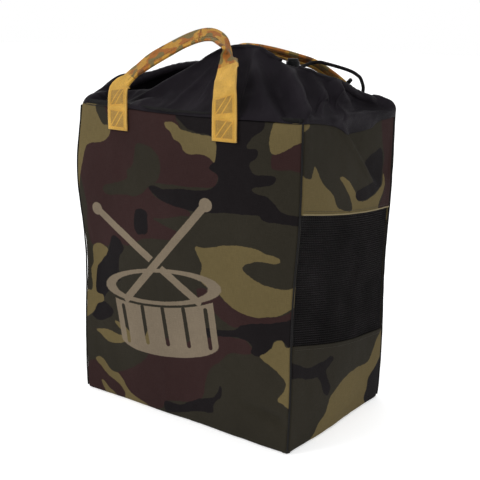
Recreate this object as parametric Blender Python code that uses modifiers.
"""Tall drawstring tote bag with two webbing handles and a mesh window in each side.

Metres, +Z up. The origin is the middle of the base, on the surface that the bag stands on.
-Y is the printed front, +X the right side. Every piece that is cut and sewn on the real bag is one object.
"""

import math

import bpy
from mathutils import Vector

# ---------------------------------------------------------------- driving dimensions
WIDTH = 0.385
DEPTH = 0.260
WALL_HEIGHT = 0.450
FABRIC = 0.002  # coated canvas with its lining
GAP = 0.0005  # air between two pieces that are sewn face to face
FACE_BULGE = 0.022  # how far the stuffed front and rear belly out at the top seam
SIDE_BULGE = 0.006

BASE_FABRIC = 0.002
BOARD_SIZE = (0.350, 0.225)
BOARD_THICKNESS = 0.003
BINDING_WIDTH = 0.010
BINDING_THICKNESS = 0.0015

WINDOW_TOP = (0.333, 0.307)  # height of the window's upper seam at the front and at the rear edge
WINDOW_BOTTOM = (0.160, 0.112)
WINDOW_LAP = 0.008  # the mesh runs on behind the gussets by this much
MESH_THICKNESS = 0.0012

CHANNEL_RADIUS = 0.0055
CHANNEL_WALL = 0.0012
CORD_RADIUS = 0.0025
CORD_PITCH = 0.0053  # the two cords side by side in the lock
COLLAR_STEP = 0.0018  # from the panels up to the collar, where the binding inside shows as the seam
EXIT_AT = 0.252  # where along the hem, as a share of its turn, the cord comes out
EXIT_HALF_GAP = 0.0135
EXIT_BEND = EXIT_HALF_GAP - CORD_PITCH / 2

LOCK_RADIUS = 0.0095
LOCK_BORE = 0.0079
LOCK_BELOW = 0.0130  # from the cords' centre down to the foot of the barrel
LOCK_ABOVE = 0.0085
LOCK_FLOOR = 0.0015
PLUNGER_RADIUS = 0.0075
PLUNGER_PROUD = 0.0040
PLUNGER_TRAVEL = 0.0030
PLUNGER_FLOOR = 0.0020
SLOT_CLEARANCE = 0.0003
LOCK_START = 0.0270  # along the cords, from the hem to the middle of the lock
LOCK_TRAVEL = 0.0280
SPRING_RADIUS = 0.0050
SPRING_WIRE = 0.0004
SPRING_TURNS = 3

STRAP_WIDTH = 0.038
STRAP_THICKNESS = 0.0022
GRIP_WIDTH = 0.019  # the webbing is folded in half along the grip
GRIP_THICKNESS = 0.0048
STRAP_END_LENGTH = 0.0312  # sewn down below the top seam
STRAP_START = 0.4535  # the free strap starts at this height
FRONT_STRAP_ENDS = (-0.1055, 0.0856)
REAR_STRAP_ENDS = (0.105, -0.105)

CORNER = {"front_left": 0.0, "front_right": 0.2984, "rear_right": 0.5, "rear_left": 0.7984}

# The collar's ridge, the highest line of the slumped fabric. Each row is the share of the turn from the front
# left corner, the ridge's x, y and z, and how far the hem is tucked in and down from the ridge.
RIDGE = (
    (0.000, -0.172, -0.108, 0.468, 0.020),
    (0.055, -0.105, -0.108, 0.472, 0.022),
    (0.100, -0.050, -0.098, 0.490, 0.018),
    (0.135, -0.015, -0.075, 0.518, 0.008),
    (0.165, 0.018, -0.055, 0.534, 0.002),
    (0.200, 0.062, -0.050, 0.535, 0.000),
    (0.225, 0.087, -0.048, 0.525, 0.000),
    (0.250, 0.110, -0.043, 0.513, 0.000),
    (0.275, 0.132, -0.033, 0.508, 0.000),
    (0.298, 0.150, -0.018, 0.502, 0.004),
    (0.340, 0.172, 0.008, 0.496, 0.010),
    (0.400, 0.182, 0.045, 0.486, 0.018),
    (0.450, 0.185, 0.080, 0.475, 0.016),
    (0.490, 0.174, 0.105, 0.468, 0.012),
    (0.525, 0.146, 0.116, 0.469, 0.010),
    (0.565, 0.104, 0.113, 0.479, 0.010),
    (0.610, 0.055, 0.104, 0.491, 0.010),
    (0.650, 0.000, 0.097, 0.501, 0.010),
    (0.700, -0.060, 0.089, 0.509, 0.010),
    (0.750, -0.116, 0.072, 0.513, 0.010),
    (0.798, -0.150, 0.045, 0.510, 0.012),
    (0.850, -0.164, 0.010, 0.503, 0.014),
    (0.900, -0.173, -0.032, 0.493, 0.016),
    (0.950, -0.182, -0.074, 0.479, 0.018),
)

# The cord's two tails after the straight stretch that the lock runs on.
TAIL_A = (
    (0.0965, 0.0460, 0.5180),
    (0.1035, 0.0555, 0.5190),
    (0.1110, 0.0620, 0.5170),
    (0.1245, 0.0750, 0.5125),
    (0.1400, 0.0880, 0.5060),
    (0.1500, 0.0950, 0.4970),
    (0.1535, 0.0975, 0.4860),
    (0.1535, 0.0970, 0.4720),
    (0.1520, 0.0950, 0.4550),
    (0.1490, 0.0930, 0.4400),
)
TAIL_B = (
    (0.0850, 0.0340, 0.5030),
    (0.0860, 0.0450, 0.4910),
    (0.0940, 0.0560, 0.4780),
    (0.1110, 0.0630, 0.4690),
    (0.1270, 0.0610, 0.4700),
    (0.1370, 0.0570, 0.4765),
    (0.1460, 0.0540, 0.4850),
)
CORD_END_LENGTH = 0.018
CORD_END_RADIUS = 0.0035
CORD_END_TIP = 0.0028

# The free straps' middle lines between their sewn ends, with the share of the way from the flat webbing (0) to
# the folded grip (1).
FRONT_STRAP = (
    (-0.1078, -0.1440, 0.4690, 0.0, 0),
    (-0.1090, -0.1390, 0.4780, 0.15, 8),
    (-0.1075, -0.1340, 0.4850, 0.65, 30),
    (-0.1035, -0.1305, 0.4900, 0.95, 48),
    (-0.0970, -0.1220, 0.5000, 1.0, 50),
    (-0.0890, -0.1170, 0.5070, 1.0, 42),
    (-0.0805, -0.1120, 0.5145, 1.0, 32),
    (-0.0700, -0.1070, 0.5220, 1.0, 28),
    (-0.0600, -0.1030, 0.5280, 1.0, 30),
    (-0.0410, -0.0960, 0.5390, 1.0, 35),
    (-0.0235, -0.0900, 0.5480, 1.0, 37),
    (-0.0045, -0.0860, 0.5540, 1.0, 40),
    (0.0105, -0.0840, 0.5550, 1.0, 48),
    (0.0275, -0.0870, 0.5510, 1.0, 74),
    (0.0410, -0.0925, 0.5410, 1.0, 106),
    (0.0510, -0.0980, 0.5335, 1.0, 126),
    (0.0565, -0.1020, 0.5285, 1.0, 130),
    (0.0585, -0.1060, 0.5240, 1.0, 96),
    (0.0605, -0.1110, 0.5190, 0.8, 42),
    (0.0650, -0.1190, 0.5095, 0.35, 8),
    (0.0700, -0.1280, 0.5000, 0.0, 0),
    (0.0765, -0.1385, 0.4865, 0.0, 0),
    (0.0820, -0.1460, 0.4733, 0.0, 0),
)
REAR_STRAP = (
    (0.1045, 0.1420, 0.4665, 0.0, 50),
    (0.1035, 0.1305, 0.4795, 0.4, 50),
    (0.1030, 0.1180, 0.4890, 0.9, 50),
    (0.1000, 0.1060, 0.4965, 1.0, 50),
    (0.0945, 0.0950, 0.5040, 1.0, 50),
    (0.0855, 0.0850, 0.5120, 1.0, 50),
    (0.0735, 0.0770, 0.5185, 1.0, 50),
    (0.0570, 0.0700, 0.5235, 1.0, 50),
    (0.0385, 0.0640, 0.5280, 1.0, 50),
    (0.0185, 0.0600, 0.5320, 1.0, 50),
    (-0.0040, 0.0590, 0.5350, 1.0, 50),
    (-0.0270, 0.0640, 0.5360, 1.0, 50),
    (-0.0460, 0.0740, 0.5340, 1.0, 50),
    (-0.0600, 0.0880, 0.5285, 1.0, 50),
    (-0.0725, 0.1030, 0.5185, 0.8, 50),
    (-0.0850, 0.1180, 0.5030, 0.4, 50),
    (-0.0980, 0.1320, 0.4855, 0.05, 50),
    (-0.1040, 0.1420, 0.4680, 0.0, 50),
)

COLOURS = {
    "camouflage canvas": (0.045, 0.040, 0.028, 1.0),
    "black nylon": (0.010, 0.009, 0.011, 1.0),
    "black mesh": (0.008, 0.008, 0.008, 1.0),
    "black binding": (0.012, 0.012, 0.012, 1.0),
    "ochre webbing": (0.52, 0.33, 0.08, 1.0),
    "black cord": (0.009, 0.009, 0.009, 1.0),
    "black plastic": (0.012, 0.012, 0.013, 1.0),
    "grey board": (0.10, 0.10, 0.10, 1.0),
    "spring steel": (0.55, 0.55, 0.56, 1.0),
}
ROUGHNESS = {"black plastic": 0.35, "spring steel": 0.30}
FABRIC_ROUGHNESS = 0.85


# ---------------------------------------------------------------- Blender helpers
def clear_scene():
    for old in list(bpy.data.objects):
        bpy.data.objects.remove(old)


def new_collection(name):
    made = bpy.data.collections.new(name)
    bpy.context.scene.collection.children.link(made)
    return made


def principled(name):
    """The material of this name, made the first time that it is asked for."""
    found = bpy.data.materials.get(name)
    if found:
        return found
    made = bpy.data.materials.new(name)
    made.use_nodes = True
    shader = made.node_tree.nodes["Principled BSDF"]
    shader.inputs["Base Color"].default_value = COLOURS[name]
    shader.inputs["Roughness"].default_value = ROUGHNESS.get(name, FABRIC_ROUGHNESS)
    shader.inputs["Metallic"].default_value = 1.0 if name == "spring steel" else 0.0
    return made


def adopt(obj, name, material, collection):
    """Names the object, gives it its material and moves it to the collection."""
    obj.name = name
    obj.data.name = name
    obj.data.materials.clear()
    obj.data.materials.append(principled(material))
    for old in list(obj.users_collection):
        old.objects.unlink(obj)
    collection.objects.link(obj)
    return obj


def smooth(obj, degrees=35):
    obj.data.shade_smooth()
    obj.data.set_sharp_from_angle(angle=math.radians(degrees))


def solidify(obj, thickness, offset):
    shell = obj.modifiers.new("thickness", "SOLIDIFY")
    shell.thickness = thickness
    shell.offset = offset
    shell.use_even_offset = True


def sewn_sheet(name, surface, columns, rows, thickness, material, outward=False):
    """A thin panel. surface(u, v) gives the point for u and v from 0 to 1, and its thickness grows inwards,
    or outwards for a piece that is sewn on top of another."""
    bpy.ops.mesh.primitive_grid_add(x_subdivisions=columns, y_subdivisions=rows, size=1.0)
    obj = adopt(bpy.context.object, name, material, bag)
    for vertex in obj.data.vertices:
        u, v = vertex.co.x + 0.5, vertex.co.y + 0.5
        vertex.co = surface(u, v)
    solidify(obj, thickness, 1.0 if outward else -1.0)
    smooth(obj)
    return obj


def mesh_object(name, points, faces, material):
    mesh = bpy.data.meshes.new(name)
    mesh.from_pydata([tuple(p) for p in points], [], faces)
    mesh.update()
    obj = bpy.data.objects.new(name, mesh)
    bag.objects.link(obj)
    mesh.materials.append(principled(material))
    return obj


def tube_curve(name, points, radius, material, sides=2, caps=True):
    """A round cord or wire through the points."""
    curve = bpy.data.curves.new(name, "CURVE")
    curve.dimensions = "3D"
    spline = curve.splines.new("POLY")
    spline.points.add(len(points) - 1)
    for place, point in zip(spline.points, points):
        place.co = (*point, 1.0)
    curve.bevel_depth = radius
    curve.bevel_resolution = sides
    curve.use_fill_caps = caps
    obj = bpy.data.objects.new(name, curve)
    bag.objects.link(obj)
    curve.materials.append(principled(material))
    return obj


def box(name, size, centre, material, turn=0.0, collection=None):
    bpy.ops.mesh.primitive_cube_add(size=1.0, location=centre, rotation=(0.0, 0.0, turn))
    obj = bpy.context.object
    obj.scale = size
    bpy.ops.object.transform_apply(location=False, rotation=False, scale=True)
    return adopt(obj, name, material, collection or bag)


def cylinder(name, radius, low, high, axis_at, material, collection=None, vertices=32):
    """An upright cylinder from height low to high, on the axis through (x, y)."""
    bpy.ops.mesh.primitive_cylinder_add(
        vertices=vertices,
        radius=radius,
        depth=high - low,
        location=(axis_at[0], axis_at[1], (low + high) / 2),
    )
    return adopt(bpy.context.object, name, material, collection or bag)


def cut(obj, cutter):
    cutter.hide_render = True
    cutter.display_type = "WIRE"
    hole = obj.modifiers.new("cut", "BOOLEAN")
    hole.operation = "DIFFERENCE"
    hole.solver = "EXACT"
    hole.object = cutter


# ---------------------------------------------------------------- curves through points
def catmull(p0, p1, p2, p3, t):
    return (
        2 * p1
        + (p2 - p0) * t
        + (2 * p0 - 5 * p1 + 4 * p2 - p3) * t * t
        + (3 * p1 - p0 - 3 * p2 + p3) * t * t * t
    ) / 2


def smooth_path(points, step):
    """Points about step apart on a smooth curve through the given ones."""
    points = [Vector(p) for p in points]
    line = [2 * points[0] - points[1], *points, 2 * points[-1] - points[-2]]
    path = [points[0]]
    for i in range(1, len(line) - 2):
        pieces = max(1, round((line[i + 1] - line[i]).length / step))
        for k in range(1, pieces + 1):
            path.append(catmull(*line[i - 1 : i + 3], k / pieces))
    return path


def round_ridge(share):
    """(ridge point, tuck) at this share of the turn, on a smooth closed curve through RIDGE."""
    share %= 1.0
    count = len(RIDGE)
    i = max(k for k in range(count) if RIDGE[k][0] <= share)
    end = RIDGE[(i + 1) % count][0] + (1.0 if i + 1 == count else 0.0)
    t = (share - RIDGE[i][0]) / (end - RIDGE[i][0])
    rows = [RIDGE[(i + k) % count] for k in (-1, 0, 1, 2)]
    place = catmull(*(Vector(row[1:4]) for row in rows), t)
    tuck = max(0.0, catmull(*(row[4] for row in rows), t))
    return place, tuck


# ---------------------------------------------------------------- the shape of the walls
def face_belly(x, z):
    """How far the front or rear stands out of its flat plane."""
    across = 1 - (2 * x / WIDTH) ** 2
    return FACE_BULGE * max(0.0, across) * (z / WALL_HEIGHT) ** 0.8


def side_belly(y, z):
    across = 1 - (2 * y / DEPTH) ** 2
    return SIDE_BULGE * max(0.0, across) * math.sin(math.pi * min(z / WALL_HEIGHT, 1.0)) ** 0.5


def front_point(x, z, out=0.0):
    return Vector((x, -DEPTH / 2 - face_belly(x, z) - out, z))


def rear_point(x, z, out=0.0):
    return Vector((x, DEPTH / 2 + face_belly(x, z) + out, z))


def side_point(side, y, z, out=0.0):
    return Vector((side * (WIDTH / 2 + side_belly(y, z) + out), y, z))


def outline_point(share, z, inset=0.0, corner=0.012):
    """A point of the bag's outline at height z, share of the turn from the front left corner, moved inwards by
    inset. The corners are rounded."""
    share %= 1.0
    half_w, half_d = WIDTH / 2 - inset, DEPTH / 2 - inset
    starts = list(CORNER.values()) + [1.0]
    edge = max(k for k in range(4) if starts[k] <= share)
    t = (share - starts[edge]) / (starts[edge + 1] - starts[edge])
    ends = ((-half_w, -half_d), (half_w, -half_d), (half_w, half_d), (-half_w, half_d), (-half_w, -half_d))
    a, b = Vector(ends[edge]), Vector(ends[edge + 1])
    flat = a.lerp(b, t)
    length = (b - a).length
    near = min(t, 1 - t) * length
    if near < corner:
        end, other = (a, b) if t < 0.5 else (b, a)
        neighbour = Vector(ends[(edge - 1) % 4]) if t < 0.5 else Vector(ends[(edge + 2) % 4 if edge < 3 else 1])
        along, across = (other - end).normalized(), (neighbour - end).normalized()
        # From the corner's middle, half a quarter turn is swept by each of the two edges that meet there.
        angle = math.radians(45) * near / corner
        centre = end + (along + across) * corner
        flat = centre - (across * math.sin(math.radians(45) + angle) + along * math.cos(math.radians(45) + angle)) * corner
    x, y = flat
    if edge in (0, 2):
        y += math.copysign(face_belly(x, z), y)
    else:
        x += math.copysign(side_belly(y, z), x)
    return Vector((x, y, z))


def hem_point(share):
    """The drawcord's line in the collar's hem."""
    ridge, tuck = round_ridge(share)
    seam = outline_point(share, WALL_HEIGHT)
    inward = Vector((ridge.x - seam.x, ridge.y - seam.y, 0.0))
    centre = Vector((-ridge.x, -ridge.y, 0.0)).normalized()
    inward = (inward.normalized() + centre).normalized()
    return ridge + tuck * (0.8 * inward - Vector((0.0, 0.0, 0.6)))


# ---------------------------------------------------------------- body panels
def make_body_panels():
    low = BASE_FABRIC + GAP

    def front(u, v):
        return front_point((u - 0.5) * WIDTH, low + v * (WALL_HEIGHT - low))

    def rear(u, v):
        return rear_point((0.5 - u) * WIDTH, low + v * (WALL_HEIGHT - low))

    sewn_sheet("front_panel", front, 14, 8, FABRIC, "camouflage canvas")
    sewn_sheet("rear_panel", rear, 14, 8, FABRIC, "camouflage canvas")

    half = DEPTH / 2 - FABRIC - 2 * GAP
    for word, side in (("right", 1), ("left", -1)):

        def strip(bottom, top, inset=0.0, side=side):
            """A band of the side between two sloping edges, each (front height, rear height)."""

            def surface(u, v):
                y = side * (2 * u - 1) * half
                back = (y / half + 1) / 2
                lower = bottom[0] + back * (bottom[1] - bottom[0])
                upper = top[0] + back * (top[1] - top[0])
                return side_point(side, y, lower + v * (upper - lower), -inset)

            return surface

        behind = FABRIC + GAP
        lap_low = [z - WINDOW_LAP for z in WINDOW_BOTTOM]
        lap_high = [z + WINDOW_LAP for z in WINDOW_TOP]
        sewn_sheet(
            f"{word}_upper_gusset", strip(WINDOW_TOP, (WALL_HEIGHT, WALL_HEIGHT)), 8, 4, FABRIC, "camouflage canvas"
        )
        sewn_sheet(f"{word}_mesh_window", strip(lap_low, lap_high, behind), 8, 6, MESH_THICKNESS, "black mesh")
        sewn_sheet(f"{word}_lower_gusset", strip((low, low), WINDOW_BOTTOM), 8, 4, FABRIC, "camouflage canvas")


def make_base():
    box("base_panel", (WIDTH, DEPTH, BASE_FABRIC), (0, 0, BASE_FABRIC / 2), "camouflage canvas")
    bottom = BASE_FABRIC + GAP
    box("base_board", (*BOARD_SIZE, BOARD_THICKNESS), (0, 0, bottom + BOARD_THICKNESS / 2), "grey board")
    clear = FABRIC + MESH_THICKNESS + 3 * GAP
    outer = (WIDTH - 2 * clear, DEPTH - 2 * clear)
    inner = (BOARD_SIZE[0] + 4 * GAP, BOARD_SIZE[1] + 4 * GAP)
    height = BINDING_WIDTH * 0.4
    ring = box("base_seam_binding", (*outer, height), (0, 0, bottom + height / 2), "black binding")
    hole = box("base_binding_hole", (*inner, height * 3), (0, 0, bottom + height / 2), "black binding", 0, cutters)
    cut(ring, hole)
    return bottom + height


def make_corner_bindings(floor):
    """The bound seam allowance that stands into the bag along each upright edge."""
    reach = BINDING_WIDTH / 2 + 0.0045
    low, high = floor + 2 * GAP, WALL_HEIGHT - 0.012
    for name, (sx, sy) in {
        "front_left": (-1, -1),
        "front_right": (1, -1),
        "rear_right": (1, 1),
        "rear_left": (-1, 1),
    }.items():
        centre = (
            sx * (WIDTH / 2 - reach * math.sqrt(0.5) - FABRIC),
            sy * (DEPTH / 2 - reach * math.sqrt(0.5) - FABRIC),
            (low + high) / 2,
        )
        turn = math.atan2(sy, sx)
        size = (BINDING_WIDTH, BINDING_THICKNESS, high - low)
        box(f"{name}_corner_binding", size, centre, "black binding", turn)


def ring_sheet(name, point, columns, rows, thickness, material):
    """A closed band: point(share, v) for v from 0 at its foot to 1 at its top, with its thickness inwards."""
    points = [point(i / columns, k / rows) for k in range(rows + 1) for i in range(columns)]
    faces = [
        (k * columns + i, k * columns + (i + 1) % columns, (k + 1) * columns + (i + 1) % columns, (k + 1) * columns + i)
        for k in range(rows)
        for i in range(columns)
    ]
    obj = mesh_object(name, points, faces, material)
    solidify(obj, thickness, -1.0)
    smooth(obj)
    return obj


def make_collar():
    inside = FABRIC + GAP * 3

    def tape(share, v):
        return outline_point(share, WALL_HEIGHT, inside, 0.010) + Vector((0, 0, 0.0004 - (1 - v) * BINDING_WIDTH))

    ring_sheet("top_seam_binding", tape, 64, 1, BINDING_THICKNESS, "black binding")

    foot = WALL_HEIGHT + COLLAR_STEP

    def skirt(share, v):
        """Up from the seam, over the ridge and down to the hem."""
        seam = outline_point(share, foot)
        ridge, tuck = round_ridge(share)
        hem = hem_point(share)
        # Where the hem is tucked in, the strip comes down to it from the ridge; elsewhere it runs straight up.
        turned = min(1.0, max(0.0, (tuck - 0.004) / 0.010))
        rise = (hem - seam).normalized()
        below = rise.lerp((hem - ridge).normalized() if tuck > 1e-4 else rise, turned).normalized()
        edge = hem - below * (CHANNEL_RADIUS + 4 * GAP)
        shoulder = seam.lerp(ridge, 0.45) + Vector((0, 0, 0.004))
        crest = edge - below * 0.010
        a, b = seam.lerp(shoulder, v), shoulder.lerp(crest, v)
        c = crest.lerp(edge, v)
        return a.lerp(b, v).lerp(b.lerp(c, v), v)

    ring_sheet("collar_skirt", skirt, 88, 6, FABRIC * 0.75, "black nylon")


# ---------------------------------------------------------------- drawcord, its channel and its lock
def exit_frame():
    """(the point on the hem where the cord leaves, the way along the hem there, the way into the mouth), flat."""
    place = hem_point(EXIT_AT)
    along = hem_point(EXIT_AT + 0.01) - hem_point(EXIT_AT - 0.01)
    along = Vector((along.x, along.y, 0.0)).normalized()
    return place, along, Vector((-along.y, along.x, 0.0))


def share_after(share, distance, step=0.0005):
    """The share of the turn that lies this far along the hem; a negative distance goes back."""
    sign = 1 if distance > 0 else -1
    gone, last = 0.0, hem_point(share)
    while gone < abs(distance):
        share += sign * step
        here = hem_point(share)
        gone += (here - last).length
        last = here
    return share


def cord_start(end, along, inward, level, sign):
    """The cord from the channel's end round a bend to the straight stretch through the lock."""
    place, _, _ = exit_frame()
    path = []
    steps = 6
    for k in range(steps + 1):
        angle = math.radians(90) * k / steps
        across = sign * (EXIT_HALF_GAP - EXIT_BEND * math.sin(angle))
        into = EXIT_BEND * (1 - math.cos(angle))
        height = end.z + (level - end.z) * k / steps
        path.append(Vector((place.x, place.y, 0)) + along * across + inward * into + Vector((0, 0, height)))
    shift = end - path[0]
    for k in range(steps + 1):
        fade = 1 - k / steps
        path[k] += Vector((shift.x, shift.y, 0)) * fade
    return path


def make_drawcord():
    place, along, inward = exit_frame()
    level = place.z
    first, last = share_after(EXIT_AT, EXIT_HALF_GAP), share_after(EXIT_AT, -EXIT_HALF_GAP) + 1.0
    steps = 84
    line = [hem_point(first + (last - first) * k / steps) for k in range(steps + 1)]
    sleeve = tube_curve("sleeve", line, CHANNEL_RADIUS, "black nylon", 2, caps=False)
    graph = bpy.context.evaluated_depsgraph_get()
    mesh = bpy.data.meshes.new_from_object(sleeve.evaluated_get(graph))
    channel = bpy.data.objects.new("hem_channel", mesh)
    bag.objects.link(channel)
    bpy.data.objects.remove(sleeve)
    solidify(channel, CHANNEL_WALL, -1.0)
    smooth(channel, 60)

    tube_curve("drawcord_in_channel", line, CORD_RADIUS, "black cord")

    straight_end = LOCK_START + LOCK_RADIUS + LOCK_TRAVEL + 0.002
    for letter, end, beside, route, sign in (
        ("a", line[0], line[1], TAIL_A, 1),
        ("b", line[-1], line[-2], TAIL_B, -1),
    ):
        away = (end - beside).normalized()
        # Cut a little short of the channel, the tail starts in line with the cord inside it.
        path = [end + away * GAP, *cord_start(end + away * 3 * GAP, along, inward, level, sign)]
        offset = Vector((place.x, place.y, level)) + along * sign * CORD_PITCH / 2
        count = 5
        for k in range(1, count + 1):
            into = EXIT_BEND + (straight_end - EXIT_BEND) * k / count
            path.append(offset + inward * into)
        free = smooth_path([path[-2], path[-1], *route], 0.009)
        path += [p for p in free if (p - path[-2]).dot(inward) > (path[-1] - path[-2]).length + 1e-6 or p.z != level]
        tube_curve(f"drawcord_tail_{letter}", path, CORD_RADIUS, "black cord")
        make_cord_end(f"cord_end_{letter}", path[-1], (path[-1] - path[-2]).normalized())


def make_cord_end(name, at, direction):
    """A moulded end, slightly tapered, on the tail's cut end."""
    bpy.ops.mesh.primitive_cone_add(
        vertices=16, radius1=CORD_END_RADIUS, radius2=CORD_END_TIP, depth=CORD_END_LENGTH, location=(0, 0, 0)
    )
    obj = adopt(bpy.context.object, name, "black plastic", bag)
    rounding = obj.modifiers.new("rounding", "BEVEL")
    rounding.width = 0.0008
    rounding.segments = 2
    rounding.limit_method = "ANGLE"
    obj.location = at + direction * (CORD_END_LENGTH / 2 + GAP)
    obj.rotation_mode = "QUATERNION"
    obj.rotation_quaternion = direction.to_track_quat("Z", "Y")
    smooth(obj)


def make_cord_lock():
    place, along, inward = exit_frame()
    level = place.z
    middle = Vector((place.x, place.y, level)) + inward * LOCK_START
    turn = math.atan2(inward.y, inward.x)
    half_slot = CORD_PITCH / 2 + CORD_RADIUS + SLOT_CLEARANCE
    foot, top = level - LOCK_BELOW, level + LOCK_ABOVE

    barrel = cylinder("cord_lock_barrel", LOCK_RADIUS, foot, top, middle, "black plastic")
    bore = cylinder("lock_bore", LOCK_BORE, foot + LOCK_FLOOR, top + 0.01, middle, "black plastic", cutters)
    cut(barrel, bore)
    window = 2 * (CORD_RADIUS + SLOT_CLEARANCE)
    slot_size = (4 * LOCK_RADIUS, 2 * half_slot, window)
    cut(barrel, box("barrel_slot", slot_size, (middle.x, middle.y, level), "black plastic", turn, cutters))
    smooth(barrel)

    below = CORD_RADIUS + SLOT_CLEARANCE
    plunger_foot = level - below - PLUNGER_FLOOR
    plunger = cylinder("cord_lock_plunger", PLUNGER_RADIUS, plunger_foot, top + PLUNGER_PROUD, middle, "black plastic")
    rounding = plunger.modifiers.new("rounding", "BEVEL")
    rounding.width = 0.0010
    rounding.segments = 3
    rounding.limit_method = "ANGLE"
    tall = window + PLUNGER_TRAVEL
    size = (4 * LOCK_RADIUS, 2 * half_slot, tall)
    at = (middle.x, middle.y, level - below + tall / 2)
    cut(plunger, box("plunger_slot", size, at, "black plastic", turn, cutters))
    smooth(plunger)

    low = foot + LOCK_FLOOR + SPRING_WIRE + GAP / 2
    high = plunger_foot - SPRING_WIRE - GAP / 2
    per_turn = 14
    coil = []
    for k in range(SPRING_TURNS * per_turn + 1):
        angle = 2 * math.pi * k / per_turn
        height = low + (high - low) * k / (SPRING_TURNS * per_turn)
        coil.append((middle.x + SPRING_RADIUS * math.cos(angle), middle.y + SPRING_RADIUS * math.sin(angle), height))
    tube_curve("cord_lock_spring", coil, SPRING_WIRE, "spring steel", 1)


# ---------------------------------------------------------------- handles
def ribbon(name, stations, material):
    """A strap lofted through stations (centre, face normal, width, thickness)."""
    points, faces = [], []
    count = len(stations)
    for k, (centre, normal, width, thickness) in enumerate(stations):
        ahead = stations[min(k + 1, count - 1)][0] - stations[max(k - 1, 0)][0]
        if k in (0, count - 1):
            ahead = Vector((0.0, 0.0, 1.0 if k == 0 else -1.0))
        across = ahead.cross(normal).normalized()
        face = across.cross(ahead).normalized()
        for a, b in ((-1, -1), (1, -1), (1, 1), (-1, 1)):
            points.append(centre + across * a * width / 2 + face * b * thickness / 2)
    for k in range(count - 1):
        for side in range(4):
            a, b = 4 * k + side, 4 * k + (side + 1) % 4
            faces.append((a, a + 4, b + 4, b))
    faces.append((0, 1, 2, 3))
    faces.append(tuple(4 * (count - 1) + i for i in (3, 2, 1, 0)))
    return mesh_object(name, points, faces, material)


def strap_end(name, x, wall):
    """The sewn-down end of a strap, lying on the panel."""
    sign = -1 if wall is front_point else 1

    def surface(u, v):
        across = (u - 0.5) * STRAP_WIDTH * (1 if sign < 0 else -1)
        return wall(x + across, STRAP_START - GAP - (1 - v) * (STRAP_END_LENGTH + 0.003), GAP)

    return sewn_sheet(name, surface, 4, 2, STRAP_THICKNESS, "ochre webbing", outward=True)


def make_handle(word, wall, ends, route, left_first):
    sign = -1 if wall is front_point else 1
    clear = GAP + STRAP_THICKNESS / 2

    def start(x, height):
        return wall(x, height, clear)

    def flat_normal(x):
        slope = 2 * FACE_BULGE * 2 * x * 2 / WIDTH**2
        return Vector((slope, sign, 0.0)).normalized()

    rows = [(*start(ends[0], STRAP_START), 0.0, 0), *route, (*start(ends[1], STRAP_START), 0.0, 0)]
    centres = smooth_path([Vector(row[:3]) for row in rows], 0.011)
    lengths = [0.0]
    for a, b in zip(centres, centres[1:]):
        lengths.append(lengths[-1] + (b - a).length)
    # The fold share is read at the control point nearest to each centre, and eased between neighbours.
    stations = []
    for k, centre in enumerate(centres):
        order = sorted(range(len(rows)), key=lambda i: (Vector(rows[i][:3]) - centre).length)
        near, next_near = order[0], order[1]
        d0, d1 = ((Vector(rows[i][:3]) - centre).length for i in (near, next_near))
        fold, lean = ((rows[near][i] * d1 + rows[next_near][i] * d0) / (d0 + d1) for i in (3, 4))
        lean = math.radians(lean)
        grip_normal = Vector((0.0, sign * math.cos(lean), math.sin(lean)))
        end_x = ends[0] if lengths[k] < lengths[-1] / 2 else ends[1]
        normal = flat_normal(end_x).lerp(grip_normal, min(1.0, 0.15 + fold) if 0 < k < len(centres) - 1 else 0.0)
        width = STRAP_WIDTH + fold * (GRIP_WIDTH - STRAP_WIDTH)
        thickness = STRAP_THICKNESS + fold * (GRIP_THICKNESS - STRAP_THICKNESS)
        stations.append((centre, normal.normalized(), width, thickness))
    ribbon(f"{word}_handle_strap", stations, "ochre webbing")
    names = ("left", "right") if left_first else ("right", "left")
    for end_word, x in zip(names, ends):
        strap_end(f"{word}_handle_{end_word}_end", x, wall)


clear_scene()
bag = new_collection("drawstring_tote_bag")
cutters = new_collection("cutters")
make_body_panels()
board_top = make_base()
make_corner_bindings(board_top)
make_collar()
make_drawcord()
make_cord_lock()
make_handle("front", front_point, FRONT_STRAP_ENDS, FRONT_STRAP, left_first=True)
make_handle("rear", rear_point, REAR_STRAP_ENDS, REAR_STRAP, left_first=False)
